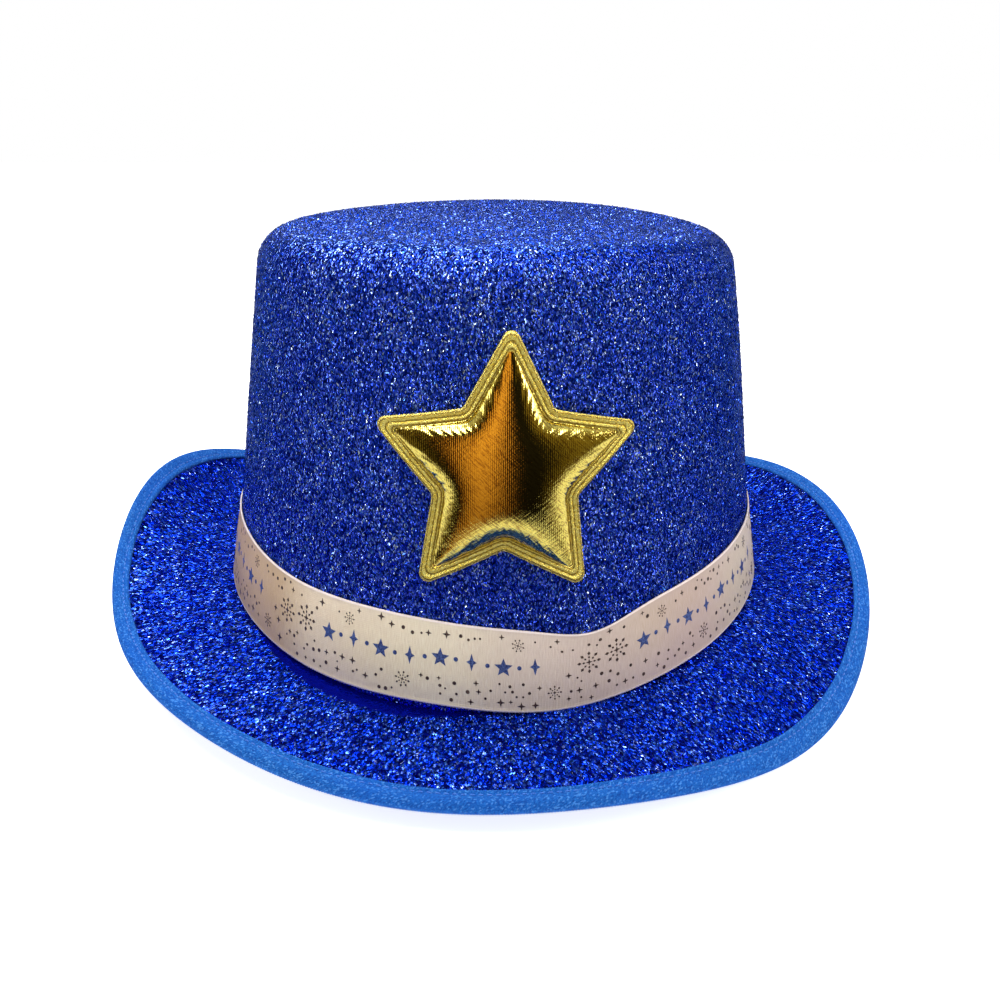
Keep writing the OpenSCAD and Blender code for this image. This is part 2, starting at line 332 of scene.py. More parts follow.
class Shader:
    """A material or world made node by node. An input is a number, a colour or a node's output."""

    def __init__(self, name, owner=None):
        self.material = owner or bpy.data.materials.new(name)
        self.material.use_nodes = True
        self.tree = self.material.node_tree
        self.tree.nodes.clear()

    def node(self, kind, inputs=(), **settings):
        made = self.tree.nodes.new("ShaderNode" + kind)
        for key, value in settings.items():
            setattr(made, key, value)
        for key, value in dict(inputs).items():
            if isinstance(value, bpy.types.NodeSocket):
                self.tree.links.new(value, made.inputs[key])
            else:
                made.inputs[key].default_value = value
        return made

    def math(self, operation, a, b=0.0, c=0.0):
        return self.node("Math", {0: a, 1: b, 2: c}, operation=operation).outputs[0]

    def vector(self, operation, a, b=(0, 0, 0)):
        return self.node("VectorMath", {0: a, 1: b}, operation=operation).outputs[0]

    def scaled(self, a, factor):
        return self.node("VectorMath", {0: a, "Scale": factor}, operation="SCALE").outputs[0]

    def mix(self, share, a, b, blend="MIX"):
        return self.node("Mix", {0: share, 6: a, 7: b}, data_type="RGBA", blend_type=blend).outputs[2]

    def ramp(self, value, stops, interpolation="LINEAR"):
        made = self.node("ValToRGB", {0: value})
        made.color_ramp.interpolation = interpolation
        while len(made.color_ramp.elements) < len(stops):
            made.color_ramp.elements.new(1)
        for element, (place, colour) in zip(made.color_ramp.elements, stops):
            element.position = place
            element.color = (*colour, 1)
        return made.outputs[0]

    def steps(self, value, low, high, to_low=0.0, to_high=1.0):
        return self.node("MapRange", {0: value, 1: low, 2: high, 3: to_low, 4: to_high}).outputs[0]

    def wave(self, value, pitch, shift=0.0):
        return self.math("SINE", self.math("MULTIPLY_ADD", value, ROUND / pitch, shift))

    def parts(self, vector):
        return self.node("SeparateXYZ", {0: vector}).outputs

    def channels(self, cells):
        """Three random numbers for each cell."""
        return self.node("SeparateColor", {0: cells.outputs["Color"]}).outputs

    def centred(self, colour):
        return self.vector("SUBTRACT", colour, (0.5, 0.5, 0.5))

    def geometry(self, output):
        return self.node("NewGeometry").outputs[output]

    def cloth(self):
        """Millimetres along and across the cloth."""
        return self.node("UVMap", uv_map="cloth_mm").outputs[0]

    def place(self):
        """Millimetres in the frame."""
        return self.scaled(self.geometry("Position"), 1 / MM)

    def turned(self, vector, angle, size):
        return self.drawn_out(vector, (0, 0, angle), (1 / size[0], 1 / size[1], 1))

    def drawn_out(self, vector, rotation, scale):
        """Coordinates turned first and then scaled, for a grain that runs aslant."""
        rolled = self.node("Mapping", {0: vector, 2: rotation}).outputs[0]
        return self.node("Mapping", {0: rolled, 3: scale}).outputs[0]

    def noise(self, vector, scale, detail=2.0, rough=0.5, output=0):
        return self.node("TexNoise", {0: vector, 2: scale, 3: detail, 4: rough}).outputs[output]

    def cells(self, vector, *turned):
        inputs = {"Vector": self.turned(vector, *turned), "Scale": 1.0}
        return self.node("TexVoronoi", inputs, voronoi_dimensions="2D")

    def bump(self, height, distance, strength=1.0, normal=None):
        inputs = {"Strength": strength, "Distance": distance * MM, "Height": height}
        if normal is not None:
            inputs["Normal"] = normal
        return self.node("Bump", inputs).outputs[0]

    def surface(self, **inputs):
        named = {key.replace("_", " "): value for key, value in inputs.items()}
        self.node("OutputMaterial", {0: self.node("BsdfPrincipled", named).outputs[0]})
        return self.material


def rgb(*values):
    """A linear colour from 0 to 255 screen values."""
    shares = [v / 255 for v in values]
    return tuple(s / 12.92 if s < 0.04045 else ((s + 0.055) / 1.055) ** 2.4 for s in shares) + (1,)


def glitter_cloth(name, shades, painted_glint_colour, coarse=1.0, bare=False):
    """Knit covered in short metallic threads: each cell has its own shade and tilt, with dark gaps between.
    Some threads are painted whitish as glints, and level cloth is painted paler and more violet, as light
    from above. A bare one has a stretch beside the crown that is evenly blue."""
    s = Shader(name)
    flat = s.cloth()
    wander = s.centred(s.noise(flat, 0.9, 2, output=1))
    mm = s.vector("ADD", flat, s.scaled(wander, 1.1))
    base = s.cells(mm, 0.2, (0.4 * coarse, 0.72 * coarse))
    slit_a = s.cells(mm, -0.45, (0.42 * coarse, 1.15 * coarse))
    slit_b = s.cells(mm, 0.5, (0.42 * coarse, 1.1 * coarse))
    shade = s.channels(base)[0]
    # Painted light from above: level faces take paler, more violet shades.
    painted_top_light = s.ramp(shade, PAINTED_TOP_LIGHT_SHADES)
    level = 0.0 if bare else s.steps(s.parts(s.geometry("Normal"))[2], 0.86, 0.98)
    colour = s.mix(level, s.ramp(shade, shades), painted_top_light)
    patch = s.noise(flat, 0.05, 3)
    # Painted glints: chosen slits are painted light cyan to whitish, standing in for light caught by the
    # metallic threads.
    for slits, tint in ((slit_a, (0.09, 0.3, 1)), (slit_b, (0.18, 0.34, 1))):
        pick = s.channels(slits)
        chosen = s.math("GREATER_THAN", s.math("MULTIPLY_ADD", patch, 0.45, pick[0]), 1.1)
        inside = s.math("LESS_THAN", slits.outputs["Distance"], 0.36)
        painted_glint = s.mix(s.steps(pick[2], 0.6, 0.9), (*tint, 1), (*painted_glint_colour, 1))
        colour = s.mix(s.math("MULTIPLY", chosen, inside), colour, painted_glint)
    gaps = s.steps(base.outputs["Distance"], 0.38, 0.58, 1.0, 0.2)
    colour = s.mix(1.0, colour, gaps, "MULTIPLY")
    tilt = s.scaled(s.centred(slit_a.outputs["Color"]), 0.8)
    lean = s.vector("ADD", s.centred(base.outputs["Color"]), tilt)
    if bare:
        along, across, _ = s.parts(s.vector("ADD", flat, s.scaled(wander, 3.0)))
        wide = s.math("MULTIPLY", s.steps(along, *BARE_LEFT), s.steps(along, *BARE_RIGHT, 1.0, 0.0))
        limit = s.math("MULTIPLY_ADD", wide, BARE_W, WALL_T - 0.6)
        smooth = s.math("LESS_THAN", across, limit)
        colour = s.mix(smooth, colour, (0.002, 0.008, 0.36, 1))
        lean = s.scaled(lean, s.steps(smooth, 0, 1, 1, 0.15))
    normal = s.vector("NORMALIZE", s.vector("ADD", s.geometry("Normal"), lean))
    normal = s.bump(base.outputs["Distance"], -0.14, 0.7, normal)
    return s.surface(Base_Color=colour, Metallic=0.9, Roughness=0.2, Normal=normal,
                     Specular_IOR_Level=0.1, Specular_Tint=(0.2, 0.4, 1, 1))


def tinsel(name, *stops):
    """Foil slivers, each with its own shade from the given ones."""
    s = Shader(name)
    colour = s.ramp(s.geometry("Random Per Island"), stops)
    return s.surface(Base_Color=colour, Metallic=1.0, Roughness=0.16, Specular_Tint=(0.3, 0.6, 1, 1))


# The satin's painted sheen and shade along its length, from its start at the back: 0.31 is the left side and
# 0.53 the front
PAINTED_SHEEN_AND_SHADE = [(0, (0.84, 0.82, 0.8)), (0.2, (0.7, 0.62, 0.55)), (0.31, (0.56, 0.41, 0.23)),
         (0.37, (0.68, 0.54, 0.37)), (0.41, (0.98, 0.93, 0.8)), (0.47, (1, 1, 0.88)),
         (0.51, (0.86, 0.82, 0.78)), (0.55, (0.74, 0.68, 0.67)), (0.6, (0.66, 0.58, 0.6)),
         (0.66, (0.74, 0.72, 0.67)), (0.8, (0.68, 0.65, 0.57)), (1, (0.84, 0.82, 0.8))]


def satin():
    """Champagne satin: fine warp down the ribbon, a broad sheen and shade painted along its length, and paler
    selvedges.
    """
    s = Shader("champagne_satin")
    mm = s.cloth()
    along, across, _ = s.parts(mm)
    warp, weft = s.wave(along, 0.42), s.wave(across, 0.5)
    thread = s.noise(s.turned(mm, 0, (0.2, 3.0)), 1.0, 2)
    broad = s.noise(s.turned(mm, 0, (60, 30)), 1.0, 2)
    colour = s.mix(s.steps(broad, 0.35, 0.65), rgb(226, 206, 174), rgb(228, 208, 190))
    colour = s.mix(s.steps(thread, 0.3, 0.75, 0.0, 0.5), colour, rgb(252, 244, 224))
    # Painted light: the satin is lighter at the front and darker and warmer at the left side, as its sheen
    # falls.
    sheen = s.ramp(s.steps(along, 0, 600), PAINTED_SHEEN_AND_SHADE, "EASE")
    colour = s.mix(1.0, colour, sheen, "MULTIPLY")
    side = s.math("ABSOLUTE", s.math("SUBTRACT", across, RIBBON_W / 2))
    colour = s.mix(s.steps(side, RIBBON_W / 2 - 0.5, RIBBON_W / 2 - 0.35), colour, rgb(240, 222, 210))
    height = s.math("ADD", warp, s.math("MULTIPLY", weft, 0.35))
    return s.surface(Base_Color=colour, Metallic=0.12, Roughness=0.42, Normal=s.bump(height, 0.02),
                     Specular_IOR_Level=0.5, Sheen_Weight=0.08, Sheen_Roughness=0.35)


def grained(name, dark, light, scale, detail, relief, **finish):
    """Ink or thread, whose colour and relief vary with one noise."""
    s = Shader(name)
    grain = s.noise(s.place(), scale, detail)
    colour = s.mix(s.steps(grain, 0.35, 0.65), dark, light)
    return s.surface(Base_Color=colour, Normal=s.bump(grain, relief), **finish)


def knitted_tape():
    """Azure knit: fine wales across the tape, small loops, and lighter and darker flecks."""
    s = Shader("binding_knit")
    mm = s.cloth()
    loops = s.cells(mm, 0.5, (0.55, 0.28))
    pick = s.channels(loops)
    fleck = s.noise(s.turned(mm, 0.5, (0.6, 0.28)), 1.0, 3, 0.6)
    broad = s.noise(mm, 0.03, 2)
    colour = s.mix(s.steps(fleck, 0.32, 0.68), rgb(4, 62, 138), rgb(36, 112, 194))
    colour = s.mix(s.steps(broad, 0.3, 0.7, 0, 0.4), colour, rgb(10, 84, 190))
    darker = s.math("MULTIPLY", s.math("LESS_THAN", pick[0], 0.25), 0.45)
    lighter = s.math("MULTIPLY", s.math("GREATER_THAN", pick[1], 0.85), 0.35)
    colour = s.mix(lighter, s.mix(darker, colour, rgb(4, 48, 128)), rgb(96, 168, 240))
    return s.surface(Base_Color=colour, Roughness=0.85, Normal=s.bump(loops.outputs["Distance"], -0.2, 0.9),
                     Specular_IOR_Level=0.15)


def ribbed_tape(name, dark, light, pitch):
    s = Shader(name)
    mm = s.cloth()
    fleck = s.noise(mm, 1.8, 3)
    colour = s.mix(s.steps(fleck, 0.3, 0.7), dark, light)
    height = s.math("ADD", s.wave(s.parts(mm)[1], pitch), fleck)
    return s.surface(Base_Color=colour, Roughness=0.7, Normal=s.bump(height, 0.09),
                     Sheen_Weight=0.2, Sheen_Roughness=0.4)


def fibrous(name, dark, light, scale, depth):
    """Felt, board, foam and plain non-woven cloth: tangled fibres or fine pores."""
    s = Shader(name)
    mm = s.place()
    fibres = s.noise(mm, scale, 6, 0.65)
    blotch = s.noise(mm, scale * 0.12, 2)
    colour = s.mix(s.steps(fibres, 0.32, 0.68), dark, light)
    colour = s.mix(s.steps(blotch, 0.4, 0.7, 0, 0.25), colour, dark)
    return s.surface(Base_Color=colour, Roughness=0.85, Normal=s.bump(fibres, depth), Sheen_Weight=0.1)


def gold_foil():
    """Mirror foil on cloth: fine ribs from the weave beneath, slanting creases and a worn grain.
    The heat-sealed edge, where the cloth coordinate passes 100, is duller and rougher, with shade painted
    into its pressed lines."""
    s = Shader("gold_foil")
    mm = s.place()
    across = s.parts(s.cloth())[1]
    sealed = s.steps(across, 99.9, 100.4)
    ribs = s.wave(s.parts(mm)[0], 0.52, s.math("MULTIPLY", s.noise(mm, 0.8, 2), 5.0))
    crease = s.noise(s.drawn_out(mm, (0, 0.62, 0), (0.16, 1, 1.9)), 1.0, 3, 0.6)
    scratch = s.noise(s.drawn_out(mm, (0, -0.75, 0), (0.12, 1, 2.6)), 1.0, 2, 0.6)
    grain = s.noise(mm, 3.2, 3)
    pressed = s.noise(mm, 2.0, 4, 0.7)
    height = s.math("MULTIPLY", s.math("MULTIPLY", pressed, sealed), 9.0)
    for relief, share in ((crease, 1.5), (ribs, 0.2), (scratch, 1.1), (grain, 0.2)):
        height = s.math("MULTIPLY_ADD", relief, share, height)
    colour = s.mix(s.steps(grain, 0.3, 0.7), rgb(238, 214, 98), rgb(252, 236, 130))
    dull = s.mix(s.steps(pressed, 0.35, 0.65), rgb(236, 196, 40), rgb(255, 242, 140))
    # Painted shade: darker lines across the sealed edge stand for shade in its pressed grooves.
    line = s.wave(across, 1.05, s.math("MULTIPLY", pressed, 6.0))
    dull = s.mix(s.steps(line, 0.1, 0.9, 0, 0.85), dull, rgb(132, 98, 20))
    # Painted reflection: a brown slanting hatch in the foil's colour stands for the mottled dark reflections
    # of the crinkled foil.
    painted_reflection_hatch = s.noise(s.drawn_out(mm, (0, -0.75, 0), (0.3, 1, 3.0)), 1.1, 3, 0.7)
    colour = s.mix(s.steps(painted_reflection_hatch, 0.5, 0.6, 0, 0.55), colour, rgb(132, 74, 44))
    colour = s.mix(sealed, colour, dull)
    return s.surface(Base_Color=colour, Metallic=s.steps(sealed, 0, 1, 1.0, 0.75),
                     Roughness=s.math("MULTIPLY", sealed, 0.26), Normal=s.bump(height, 0.035))


def hot_glue():
    s = Shader("glue")
    lump = s.noise(s.place(), 0.7, 2)
    colour = s.mix(lump, rgb(205, 198, 176), rgb(228, 224, 208))
    return s.surface(Base_Color=colour, Roughness=0.35, Normal=s.bump(lump, 0.2), Subsurface_Weight=0.1)


WALL_SHADES = [(0, (0, 0.006, 0.17)), (0.3, (0.006, 0.03, 0.38)), (0.6, (0.025, 0.07, 0.68)),
               (0.86, (0.1, 0.17, 0.95)), (1, (0.26, 0.4, 1))]
BRIM_SHADES = [(0, (0, 0.005, 0.24)), (0.3, (0, 0.015, 0.42)), (0.6, (0.005, 0.043, 0.68)),
               (0.86, (0.026, 0.1, 0.92)), (1, (0.12, 0.25, 1))]
# Paler, more violet shades painted on level cloth as light from above
PAINTED_TOP_LIGHT_SHADES = [(0, (0, 0.01, 0.26)), (0.25, (0.02, 0.07, 0.7)), (0.5, (0.09, 0.18, 0.96)),
               (1, (0.26, 0.4, 1))]
GLITTER = glitter_cloth("glitter_cloth", WALL_SHADES, (0.8, 0.92, 1))
BRIM_GLITTER = glitter_cloth("brim_glitter_cloth", BRIM_SHADES, (0.3, 0.4, 1), 1.45, bare=True)
# The top shades in each tinsel list paint a few slivers light blue to whitish, as glints.
WALL_TINSEL = tinsel("glitter_tinsel", (0, (0.002, 0.01, 0.16)), (0.5, (0.01, 0.05, 0.5)),
                     (0.84, (0.05, 0.15, 0.9)), (0.94, (0.16, 0.36, 1)), (0.965, (0.75, 0.9, 1)),
                     (1, (0.9, 0.96, 1)))
TIP_TINSEL = tinsel("pile_tinsel", (0, (0, 0.008, 0.16)), (0.65, (0.008, 0.035, 0.4)),
                    (0.8, (0.11, 0.19, 0.9)), (0.985, (0.2, 0.34, 1)), (1, (0.4, 0.7, 1)))
BRIM_TINSEL = tinsel("brim_tinsel", (0, (0.002, 0.016, 0.26)), (0.5, (0.008, 0.06, 0.6)),
                     (0.85, (0.03, 0.13, 0.95)), (0.96, (0.17, 0.32, 1)), (1, (0.7, 0.8, 1)))
SATIN = satin()
INK = {"scale": 2.2, "detail": 3, "relief": 0.03, "Roughness": 0.38}
BRONZE = grained("bronze_print", rgb(48, 34, 32), rgb(96, 72, 58), Metallic=0.3, **INK)
NAVY = grained("navy_print", rgb(30, 40, 92), rgb(74, 96, 150), Metallic=0.15, **INK)
KNIT = knitted_tape()
SWEAT = ribbed_tape("sweatband_rib", rgb(14, 14, 18), rgb(36, 37, 44), 1.3)
FOAM = fibrous("moulded_foam", rgb(196, 200, 210), rgb(224, 227, 233), 3.5, 0.12)
BOARD = fibrous("felted_board", rgb(176, 176, 180), rgb(206, 206, 208), 2.2, 0.15)
LINING = fibrous("lining_nonwoven", rgb(14, 22, 74), rgb(34, 48, 118), 1.6, 0.12)
FELT = fibrous("backing_felt", rgb(178, 150, 92), rgb(214, 188, 128), 2.4, 0.2)
YARN = {"scale": 5.0, "detail": 2, "relief": 0.05, "Roughness": 0.55, "Sheen_Weight": 0.3}
BLUE_THREAD = grained("blue_thread", rgb(10, 76, 170), rgb(50, 128, 222), **YARN)
BLACK_THREAD = grained("black_thread", rgb(20, 20, 24), rgb(60, 60, 68), **YARN)
FOIL = gold_foil()
GLUE = hot_glue()


def finished(obj, material, slot, *nodes):
    """Gives a piece its material and its body, and hides the CAD nodes that it stands for; the slot is not
    used.
    """
    obj.data.materials.append(material)
    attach(obj, "root")
    if nodes:
        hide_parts(*nodes)
    return obj


# ---- crown ----

CROWN_COLUMNS = 400


def crown_rows(depth):
    a = turns(CROWN_COLUMNS)
    rim = shoulder_point(a, math.pi / 2, depth)
    middle = np.array([0, 0, CROWN_H - depth])
    rows = [middle + (rim - middle) * s for s in np.linspace(0.04, 1, 12, endpoint=False)]
    rows += [shoulder_point(a, c, depth) for c in np.linspace(math.pi / 2, 0, 12, endpoint=False)]
    low = seam_z(a)
    rows += [wall_point(a, low + s * (CROWN_H - TIP_R - low), depth) for s in np.linspace(1, 0, 50)]
    return rows


def crown_layer(name, outer, inner, material, slot, node):
    obj = closed_layer(name, crown_rows(outer), crown_rows(inner), CROWN_GIRTH, fans=True)
    lay_flat_on_top(obj)
    return finished(obj, material, slot, node)


crown_cloth = crown_layer("crown_cloth", 0, CLOTH_T, GLITTER, "glitter_cloth", "crown_glitter_cloth")
crown_layer("crown_foam", CLOTH_T, CLOTH_T + FOAM_T, FOAM, "foam", "crown_foam_shell")
lining = crown_layer("crown_inner_lining", CLOTH_T + FOAM_T, WALL_T, LINING, "lining_cloth", "crown_lining")

# ---- brim ----

BRIM_COLUMNS = 420


def brim_rows(drop):
    a = turns(BRIM_COLUMNS)
    under_wall = wall_point(a, seam_z(a), WALL_T) - [0, 0, drop]
    return [under_wall] + [brim_point(a, s, drop) for s in np.linspace(0, 1, 26)]


def brim_layer(name, top, bottom, material, slot, node):
    obj = closed_layer(name, brim_rows(top), brim_rows(bottom), BRIM_GIRTH, round_rows=True)
    return finished(obj, material, slot, node)


brim_cloth = brim_layer("brim_cloth", 0, CLOTH_T, BRIM_GLITTER, "glitter_cloth", "brim_glitter_cloth")
brim_layer("brim_stiffener", CLOTH_T, CLOTH_T + BOARD_T, BOARD, "board", "brim_board")
brim_under = brim_layer("brim_underside_cloth", CLOTH_T + BOARD_T, BRIM_T, GLITTER, "glitter_cloth",
                        "brim_under_cloth")

# ---- tinsel standing out of the cloth ----


def frame_at(surface, p, q, step=1e-3):
    """A place on a surface, and the unit vectors along p, along q and out from it."""
    here = soften(surface(p, q))
    across = unit(soften(surface(p + step, q)) - here)
    along = unit(soften(surface(p, q + step)) - here)
    return here, across, along, unit(np.cross(across, along))


def crown_profile(a, t):
    """A point from the seam, t 0, up the wall and over the shoulder to the tip's middle, t 1."""
    wall_end, shoulder_end = 0.5, 0.6
    low = seam_z(a)
    z = low + (CROWN_H - TIP_R - low) * climbed(t, 0, wall_end)
    climb = climbed(t, wall_end, shoulder_end) * math.pi / 2
    p = np.where((t < wall_end)[:, None], wall_point(a, z, 0), shoulder_point(a, climb, 0))
    pull = 1 - climbed(t, shoulder_end, 1)
    return p * stack(pull, pull, 1)


def tinsel_on(name, surface, count, spread, spot, material=WALL_TINSEL, longest=1.5, keep=None):
    a = rng.uniform(-math.pi, math.pi, count)
    t = spot(rng.uniform(0, 1, count))
    if keep is not None:
        kept = keep(a, t)
        a, t = a[kept], t[kept]
    here, across, along, out = frame_at(surface, a, t)
    count = len(a)
    turn = rng.normal(0, spread, count)[:, None]
    way = along * np.cos(turn) + across * np.sin(turn)
    wide = np.cross(out, way)
    length = rng.uniform(0.4, 1, count) * longest
    width = rng.uniform(0.2, 0.36, count)
    lift = rng.uniform(0.05, 0.5, count) ** 1.5
    return finished(scatter(name, here, way, wide, out, length, width, lift), material, "glitter_cloth")


def over_tip(x):
    """Even cover of the shoulder and the tip, whose rings shrink towards the middle."""
    shoulder = 0.27
    return np.where(x < shoulder, 0.5 + 0.1 * x / shoulder,
                    1 - 0.4 * np.sqrt(np.clip((1 - x) / (1 - shoulder), 0, 1)))


def off_bare_stretch(a, t):
    """Keeps tinsel off the brim's bare stretch."""
    along = (a - math.pi / 2) % ROUND / ROUND * BRIM_GIRTH
    wide = np.interp(along, (*BARE_LEFT, *BARE_RIGHT), (0, 1, 1, 0))
    return t * FRONT_REACH > BARE_W * wide - 0.6


tinsel_on("crown_wall_tinsel", crown_profile, 36000, 0.6, lambda x: 0.02 + 0.48 * x)
tinsel_on("crown_tip_tinsel", crown_profile, 16000, 1.5, over_tip, TIP_TINSEL, 1.1)
tinsel_on("brim_tinsel", lambda a, t: brim_point(a, t, 0), 34000, 0.45, lambda x: 0.03 + 0.85 * x**0.85,
          BRIM_TINSEL, longest=1.9, keep=off_bare_stretch)

# ---- binding ----


def tape_section():
    """Corners of the knitted tape as inset from the board's edge and height over the brim."""
    face_up, face_down = GAP + TAPE_T, -BRIM_T - GAP - TAPE_T
    lip = [(0.0, 0.0), (0.02, 0.3), (0.2, 0.58), (0.55, 0.74), (0.9, 0.7), (1.2, 0.52), (1.5, 0.4),
           (1.85, 0.36), (2.2, 0.42), (2.6, 0.52)]
    ridge = [(TAPE_REACH - inset, GAP + height) for inset, height in lip]
    slope = [(s, face_up + 0.05 * (1.1 - s)) for s in (0.9, 0.45)]
    roll = [(-ROLL_OUT * math.cos(c), -BRIM_T / 2 + (BRIM_T / 2 + ROLL_UP) * math.sin(c))
            for c in np.radians(np.linspace(86, -90, 16))]
    under = [(1.2, face_down), (2.4, face_down + 0.05), (TAPE_REACH - 0.3, face_down + 0.05),
             (TAPE_REACH, face_down + 0.3), (TAPE_REACH, -BRIM_T - GAP)]
    inside = [(2.0, -BRIM_T - GAP), (-GAP, -BRIM_T - GAP), (-GAP, GAP), (2.0, GAP)]
    return ridge + slope + roll + under + inside, len(inside)


def on_edge(a, inset, height):
    return brim_point(a, 1 - inset / FRONT_REACH, -height)


def binding():
    """The tape round the brim's edge, ribbed by lifting every second ring of its outer face."""
    corners, inner = tape_section()
    wales = 1060
    a = turns(2 * wales)
    ribbed = np.tile([0.5, -0.5], wales) * 0.2
    sway = 0.12 * np.sin(9 * a + 0.4) + 0.08 * np.sin(23 * a)
    rows = []
    for k, (inset, height) in enumerate(corners):
        skin = k < len(corners) - inner
        lift = ribbed if skin else 0
        edge = sway if skin and inset > TAPE_REACH - 1.4 else 0
        top = height > -BRIM_T / 2
        out = lift if -ROLL_OUT <= inset < 0.3 else 0
        rows.append(on_edge(a, inset - out + edge, height + (lift if top else -lift)))
    v = np.concatenate([[0], np.cumsum(np.hypot(*np.diff(np.array(corners + corners[:1]), axis=0).T))])
    return grid("edge_binding", rows, round_mm(2 * wales, EDGE_GIRTH), v, round_rows=True)


edge_binding = finished(binding(), KNIT, "binding_tape", "brim_binding")
groove = TAPE_REACH - 1.85
finished(stitches("binding_stitches", lambda a: on_edge(a, groove, GAP + 0.42), 370, 1.3, 0.17),
         BLUE_THREAD, "blue_thread", "binding_thread")
seam_drop = -BRIM_T - THREAD_D / 2 - 0.05
finished(stitches("crown_seam_stitches", lambda a: on_edge(a, FRONT_REACH - 1.2, seam_drop), 196, 2.3),
         BLUE_THREAD, "blue_thread", "crown_seam_thread")

# ---- hat band ----


def slack(a):
    """How far the ribbon's top edge sags where it is a little loose, at the front right."""
    loose = 3.2 * np.exp(-(((a + math.radians(72)) / math.radians(9)) ** 2))
    return loose - 0.8 * np.exp(-(((a + math.radians(116)) / math.radians(14)) ** 2))


def sway(a):
    """The ribbon rides up a little at the front left and down at the front right."""
    from_front = a + math.pi / 2
    return -1.3 * np.sin(5.4 * from_front) * np.exp(-((from_front / math.radians(30)) ** 2))


def ribbon_place(a, up, out):
    """A point on the ribbon: up from its lower edge and out from the cloth."""
    turn = (a + math.pi) % ROUND - math.pi
    drop = slack(turn) * (up / RIBBON_W) ** 2 - sway(turn)
    return wall_point(a, seam_z(a) + RIBBON_LIFT + up - drop, -out)


def ribbon():
    """Once round from the back, lapping over its start, with a beaded selvedge along both edges."""
    start = math.pi / 2 - math.radians(LAP)
    sweep = ROUND + math.radians(LAP)
    beads = 700
    a = np.linspace(start, start + sweep, 2 * beads + 1)
    over = ease(a - start, ROUND - 0.05, ROUND) * (RIBBON_T + GAP)
    bead = 0.5 + 0.5 * np.cos(np.arange(2 * beads + 1) * math.pi)
    ups = [0, 0.25, 0.55, 0.8] + list(np.linspace(1.4, RIBBON_W - 1.4, 14))
    ups += [RIBBON_W - u for u in (0.8, 0.55, 0.25, 0)]
    face, back = [], []
    for up in ups:
        side = min(up, RIBBON_W - up)
        selvedge = 0.12 * (side < 0.7) * (0.4 + 0.6 * bead)
        belly = 0.25 * math.sin(math.pi * up / RIBBON_W)
        spread = 0.07 * bead * (side < 0.1) * (1 if up > 1 else -1)
        out = RIBBON_GAP + over + belly
        face.append(ribbon_place(a, up + spread, out + RIBBON_T - 0.08 + selvedge))
        back.append(ribbon_place(a, up + spread, out))
    rows = np.array(face + back[::-1])
    return grid("champagne_ribbon", rows, np.linspace(0, sweep * RIBBON_RADIUS, 2 * beads + 1),
                ups + ups[::-1] + [0], round_rows=True, round_cols=False)


hat_band = finished(ribbon(), SATIN, "satin_ribbon", "hat_band_ribbon")


def glue_dabs():
    """Flat dabs of hot glue behind the ribbon, thinner towards their edges."""
    turn = circle(24)
    dabs = []
    for k in range(GLUE_DABS):
        rings = []
        for out, share in ((0.07, 0.9), (0.14, 1.0), (0.24, 0.85)):
            a = ROUND * (k + 0.5) / GLUE_DABS + DAB_W / 2 * share * np.cos(turn) / RIBBON_RADIUS
            rings.append(soften(ribbon_place(a, RIBBON_W / 2 + DAB_H / 2 * share * np.sin(turn), out)))
        dabs.append(rings)
    return stacked("ribbon_glue", dabs, flat=True)


finished(glue_dabs(), GLUE, "glue", "ribbon_glue_dots")


def on_ribbon(u, v, out):
    """A point on the ribbon's face: u along it from the front's middle, v up from its lower edge."""
    a = -math.pi / 2 + u / RIBBON_RADIUS
    belly = 0.25 * np.sin(math.pi * v / RIBBON_W)
    return ribbon_place(a, v, RIBBON_GAP + RIBBON_T - 0.08 + belly + out)


def decals(name, outlines, material):
    """Flat printed shapes a hair's breadth proud of the ribbon, each an outline of (u, v)."""
    stacks = []
    for outline in outlines:
        u, v = np.asarray(outline, float).T
        stacks.append([soften(on_ribbon(u, v, out)) for out in (-0.03, 0.05)])
    finished(stacked(name, stacks, flat=True), material, "satin_ribbon")


def polygon(u, v, radii, turn=0.0):
    """Corners round a middle at radii that repeat in order."""
    ways = [turn + ROUND * k / len(radii) for k in range(len(radii))]
    return [(u + r * math.sin(way), v + r * math.cos(way)) for r, way in zip(radii, ways)]


def dot(u, v, r):
    return [polygon(u, v, [r] * 10)]


def sparkle(u, v, r, turn=0.0):
    return [polygon(u, v, [r, 0.36 * r] * 4, turn)]


def burst(u, v, r, turn):
    """A starburst of eight separate double strokes round a small star."""
    shapes = sparkle(u, v, 0.3 * r, turn)
    for k in range(8):
        sin, cos = math.sin(turn + ROUND * k / 8), math.cos(turn + ROUND * k / 8)
        for low, high, wide in ((0.34, 0.6, 0.1), (0.66, 1.04, 0.14)):
            middle = (low + high) / 2
            shapes.append([(u + r * (p * sin + q * cos), v + r * (p * cos - q * sin))
                           for p, q in ((low, 0), (middle, wide), (high, 0), (middle, -wide))])
    return shapes


# The print's garland, the distance at which it repeats, and half the way round, along the ribbon
GARLAND, PERIOD, HALF_ROUND = 65.0, 93.5, 283.0
# Bursts beside each garland: distance along from its start, height, radius and turn
BURSTS = [(-7, 13.5, 3.6, 0.0), (GARLAND + 13, 12.5, 3.4, 0.0), (26, 5.4, 2.2, 0.2), (68, 5.0, 2.0, 0.0),
          (58, 18.3, 1.8, 0.3), (9, 18.0, 1.7, 0)]


def garland(start):
    """A run of filled stars, diamonds and dots in place of a printed greeting."""
    shapes = []
    motifs = ["star", "dot", "diamond", "dot"] * 4
    step = GARLAND / (len(motifs) - 1)
    for k, motif in enumerate(motifs[:-1]):
        u = start + 2 + k * step
        v = 12.6 + 0.5 * math.sin(k * 0.9)
        if motif == "star":
            shapes.append(polygon(u, v, [2.6, 1.15] * 5))
        elif motif == "diamond":
            shapes.append(polygon(u, v, [2.4, 0.75, 1.45, 0.75] * 2))
        else:
            shapes += dot(u, v, 0.62)
    return shapes


